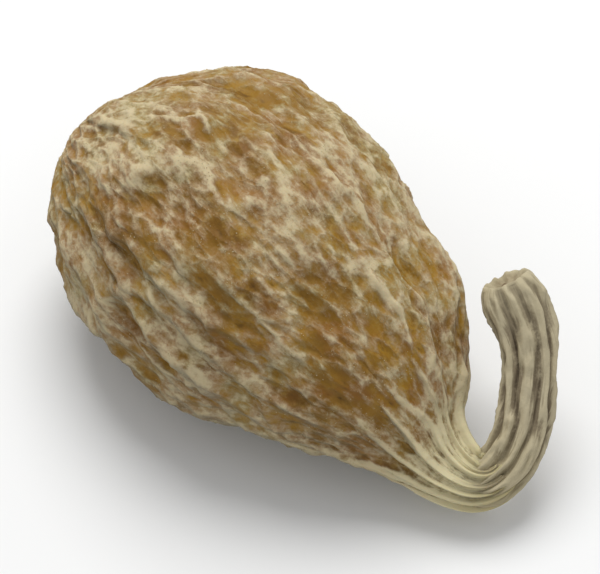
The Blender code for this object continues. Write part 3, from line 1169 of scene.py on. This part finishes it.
def dishCut(mesh):
    # the dried cut end: tilted, with a rounded rim round a sunken middle
    shape = bmesh.new()
    shape.from_mesh(mesh)
    tip = pointAt(stalkPath, stalkLength) * mm
    wide, thick, ahead = lineAxes(stalkPath, stalkLength)
    for vertex in shape.verts:
        left = (tip - vertex.co).dot(ahead) / mm
        if left > barkMake["tiltReach"] or (vertex.co - tip).length > barkMake["cutNear"] * mm:
            continue
        near = 1.0 - max(0.0, left) / barkMake["tiltReach"]
        towards = (vertex.co - tip).dot(stalkFacing) / mm
        vertex.co -= ahead * (barkMake["tilt"] * towards * near * near * mm)
        rounding = max(0.0, 1.0 - left / barkMake["rimRound"]) ** 2
        axis = tip - ahead * left * mm
        vertex.co += (axis - vertex.co) * (barkMake["rimShrink"] * rounding)
    caps = [face for face in shape.faces if len(face.verts) > 8]
    cap = min(caps, key=lambda face: (face.calc_center_median() - tip).length)
    rim = list(cap.verts)
    middle = cap.calc_center_median()
    shape.faces.remove(cap)
    halfWide, halfThick = (
        sum(abs((vertex.co - middle).dot(axis)) for vertex in rim) / len(rim) * 0.5 * math.pi
        for axis in (wide, thick)
    )
    row = rim
    for shrink, push in barkMake["cutRings"]:
        made = []
        for edgeVertex in rim:
            spoke = edgeVertex.co - middle
            turn = math.atan2(spoke.dot(thick) / halfThick, spoke.dot(wide) / halfWide)
            lean = ahead * spoke.dot(ahead)
            oval = wide * (halfWide * math.cos(turn)) + thick * (halfThick * math.sin(turn)) + lean
            spoke = spoke.lerp(oval, min(1.0, barkMake["ovalPull"] * (1.0 - shrink))) * shrink
            lump = noise.noise(Vector((spoke.dot(wide), spoke.dot(thick), 0.0)) * barkMake["cutPace"] / mm)
            rough = barkMake["cutRough"] * math.sin(math.pi * shrink) * lump
            made.append(shape.verts.new(middle + spoke + ahead * (push + rough) * mm, edgeVertex))
        for side in range(len(rim)):
            after = (side + 1) % len(rim)
            shape.faces.new((row[side], row[after], made[after], made[side]))
        row = made
    pole = shape.verts.new(middle + ahead * barkMake["cutRings"][-1][1] * mm, rim[0])
    for side in range(len(rim)):
        shape.faces.new((row[side], row[(side + 1) % len(rim)], pole))
    bmesh.ops.poke(shape, faces=[f for f in shape.faces if len(f.verts) > 8])
    shape.to_mesh(mesh)
    shape.free()
    lighter = []
    pith = []
    (rimTint, rimReach), (sideTint, sideReach) = barkMake["cutTint"]
    pithEnd, pithSoft = barkMake["pithEdge"]
    for vertex in mesh.vertices:
        spoke = vertex.co - middle
        left = (tip - vertex.co).dot(ahead) / mm
        close = spoke.length < barkMake["tintNear"] * mm
        out = math.hypot(spoke.dot(wide) / halfWide, spoke.dot(thick) / halfThick)
        tint = max(0.0, min(1.0, rimTint - left / rimReach), sideTint - left / sideReach)
        lighter.append(tint if close else 0.0)
        pith.append(max(0.0, min(1.0, (pithEnd - out) / pithSoft)) if close else 0.0)
    setValues(mesh, "cut", lighter)
    setValues(mesh, "pith", pith)
    mesh.shade_smooth()


stalkBark = makeStalk()
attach(stalkBark, "root")
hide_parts("stalk")
print("stalk made:", len(stalkBark.data.polygons), "faces")


# The eye: rings of small dry scales that close it

eyeMake = {
    "scaleLength": 1.5,
    "scaleWidth": 1.25,
    "scaleThickness": 0.13,
    "scaleTaper": (2.2, 0.7),
    "scaleTip": 0.02,
    "scaleArch": 0.28,
    "scaleCurl": 0.2,
    # scales in a ring, its radius, how deep it sits, the scales' size and lift
    "rings": ((9, 2.35, -0.42, 1.0, 0.1), (7, 1.6, -0.5, 0.82, 0.22), (5, 0.95, -0.62, 0.62, 0.36)),
    "stagger": 0.35,
    "wobble": (0.14, 0.12, 0.16),
    "Seed": 4,
}


def scaleMesh():
    # one scale: it points along +Y, arched across and curled at its tip
    long, across = 7, 6
    points = []
    late, blunt = eyeMake["scaleTaper"]
    for layer in (0.0, -eyeMake["scaleThickness"]):
        for i in range(long + 1):
            u = i / long
            half = 0.5 * eyeMake["scaleWidth"] * (1.0 - u**late) ** blunt + eyeMake["scaleTip"]
            for j in range(across + 1):
                v = 2.0 * j / across - 1.0
                height = eyeMake["scaleArch"] * (1.0 - v * v) * (1.0 - 0.5 * u)
                height += eyeMake["scaleCurl"] * u * u
                points.append(Vector((half * v, eyeMake["scaleLength"] * u, height + layer)) * mm)
    row = across + 1
    count = (long + 1) * row
    faces = []
    for i in range(long):
        for j in range(across):
            a = i * row + j
            faces.append((a, a + 1, a + row + 1, a + row))
            faces.append((count + a, count + a + row, count + a + row + 1, count + a + 1))
    edge = list(range(row)) + [i * row + across for i in range(1, long + 1)]
    edge += [long * row + j for j in range(across - 1, -1, -1)] + [i * row for i in range(long - 1, 0, -1)]
    for a, b in zip(edge, edge[1:] + edge[:1]):
        faces.append((a, count + a, count + b, b))
    mesh = bpy.data.meshes.new("scale")
    mesh.from_pydata(points, [], faces)
    return mesh


def scaleTree(finish):
    tree, given = newTree("GeometryNodeTree", "eye scales", {
        "Scale": None, "Seed": 1, "Place": (0.0, 0.0, 0.0), "Turn": (0.0, 0.0, 0.0),
    })
    joined = tree.nodes.new("GeometryNodeJoinGeometry")
    tilt = eyeMake["wobble"]
    for number, (count, radius, depth, size, lift) in enumerate(eyeMake["rings"]):
        ring = newNode(tree, "GeometryNodeMeshCircle", {"Vertices": count, "Radius": radius * mm})
        angle = newField(tree, "GeometryNodeInputIndex") * (math.tau / count)
        wobble = randomVector(given["Seed"] + float(number), tuple(-t for t in tilt), tilt)
        copies = newNode(tree, "GeometryNodeInstanceOnPoints", {
            "Points": ring["Mesh"], "Instance": given["Scale"], "Scale": (size, size, size),
            "Rotation": joinXyz(tree, lift, 0.0, angle + 0.5 * math.pi) + wobble,
        })
        spun = newNode(tree, "GeometryNodeTransform", {
            "Geometry": copies[0], "Translation": (0.0, 0.0, depth * mm),
            "Rotation": (0.0, 0.0, eyeMake["stagger"] * number),
        })
        plug(spun[0], joined.inputs[0])
    laid = newNode(tree, "GeometryNodeTransform", {
        "Geometry": joined.outputs[0], "Translation": given["Place"], "Rotation": given["Turn"],
    })
    return endTree(tree, laid[0], finish)


def makeScales():
    rim = Vector((0.0, readTable(fig["sideWander"], 0.0), readTable(fig["droop"], 0.0)))
    outwards = laidDown(Vector((-1.0, 0.0, 0.0)))
    turn = outwards.to_track_quat("Z", "Y").to_euler()
    settings = {"Seed": eyeMake["Seed"], "Place": (laidDown(rim) + restShift) * mm, "Turn": Vector(turn)}
    return runTree("eyeScales", bareObject("scale", scaleMesh()), scaleTree(scaleFinish()), settings)


eyeScales = makeScales()
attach(eyeScales, "root")
print("eye made:", len(eyeScales.data.polygons), "faces")


# Flour crumbs that cling to the skin

crumbMake = {
    "Density": 8.5,  # crumbs on a square mm of the most floured skin
    "Radius": 0.05,
    "Seed": 11,
    "sizes": ((0.35, 0.35, 0.25), (1.5, 1.3, 0.7)),
    "raisedStep": (0.35, 0.95, 0.02, 1.0),
    "clumpPace": 0.8,
    "clumpStep": (0.42, 0.62, 0.08, 1.0),
    "neckStep": (0.1, 0.5, 1.0, 0.0),
}


def crumbTree(finish):
    tree, given = newTree("GeometryNodeTree", "flour crumbs", {"Skin": None, **knobsOf(crumbMake)})
    space = readSet(tree, "skinSpace", "FLOAT_VECTOR")
    raised, _ = standingOut(space, lambda name: readSet(tree, name))
    clumps = noiseValue(space, crumbMake["clumpPace"], 3.0, 0.6)
    chance = softStep(raised, *crumbMake["raisedStep"]) * softStep(clumps, *crumbMake["clumpStep"])
    chance = chance * softStep(readSet(tree, "neckward"), *crumbMake["neckStep"])
    spread = newNode(tree, "GeometryNodeDistributePointsOnFaces", {
        "Mesh": given["Skin"], "Density": given["Density"] * (1.0 / mm**2) * chance, "Seed": given["Seed"],
    })
    ball = newNode(tree, "GeometryNodeMeshIcoSphere", {"Radius": given["Radius"] * mm, "Subdivisions": 1})
    copies = newNode(tree, "GeometryNodeInstanceOnPoints", {
        "Points": spread["Points"], "Instance": ball["Mesh"], "Rotation": spread["Rotation"],
        "Scale": randomVector(given["Seed"] + 5.0, *crumbMake["sizes"]),
    })
    return endTree(tree, copies[0], finish)


def makeCrumbs():
    ground = bareObject("crumbGround", figSkin.data.copy())
    return runTree("flourCrumbs", ground, crumbTree(flourFinish()), crumbMake)


flourCrumbs = makeCrumbs()
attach(flourCrumbs, "root")
print("flour made:", len(flourCrumbs.data.polygons), "faces")


# The table, the light and the camera

studio = {
    "table": 6.0,
    "tableColour": (0.86, 0.86, 0.85, 1.0),
    "sky": (0.93, 0.94, 0.96, 1.0),
    "skyStrength": 0.6,
    "lampSize": 0.3,
    "lampPower": 1.36,
    "lampAt": (-0.15, 0.12, 0.38),
    "azimuth": math.radians(48.0),
    "elevation": math.radians(55.0),
    "lens": 220.0,
    "sensor": 36.0,
    "frameWidth": 0.05,
}


def makeTable():
    shape = bmesh.new()
    bmesh.ops.create_grid(shape, x_segments=2, y_segments=2, size=studio["table"])
    mesh = bpy.data.meshes.new("table")
    shape.to_mesh(mesh)
    shape.free()
    finish, _, shader = newFinish("paleTable", 0.8)
    plug(studio["tableColour"], shader.inputs["Base Color"])
    mesh.materials.append(finish)
    return bareObject("table", mesh)


def makeLight():
    world = bpy.data.worlds.new("studio")
    world.use_nodes = True
    feed(world.node_tree.nodes["Background"], {"Color": studio["sky"], "Strength": studio["skyStrength"]})
    bpy.context.scene.world = world
    lamp = bpy.data.lights.new("softbox", "AREA")
    lamp.shape = "DISK"
    lamp.size = studio["lampSize"]
    lamp.energy = studio["lampPower"]
    holder = bareObject("softbox", lamp)
    holder.location = studio["lampAt"]
    holder.rotation_euler = (-Vector(studio["lampAt"])).to_track_quat("-Z", "Y").to_euler()


def makeCamera():
    azimuth, elevation = studio["azimuth"], studio["elevation"]
    back = Vector((math.sin(azimuth) * math.cos(elevation), -math.cos(azimuth) * math.cos(elevation),
                   math.sin(elevation)))
    right = Vector((math.cos(azimuth), math.sin(azimuth), 0.0))
    up = back.cross(right)
    corners = [v.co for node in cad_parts.values() for v in node.data.vertices]
    sideways = [c.dot(right) for c in corners]
    upright = [c.dot(up) for c in corners]
    aim = right * 0.5 * (min(sideways) + max(sideways)) + up * 0.5 * (min(upright) + max(upright))
    aim += back * sum(c.dot(back) for c in corners) / len(corners)
    camera = bpy.data.cameras.new("camera")
    camera.lens = studio["lens"]
    camera.sensor_width = studio["sensor"]
    camera.clip_start = 0.01
    holder = bareObject("camera", camera)
    holder.location = aim + back * studio["frameWidth"] * studio["lens"] / studio["sensor"]
    holder.rotation_euler = Matrix((right, up, back)).transposed().to_euler()
    bpy.context.scene.camera = holder


makeTable()
makeLight()
makeCamera()
bpy.context.scene.view_settings.view_transform = "Standard"
print("studio made")
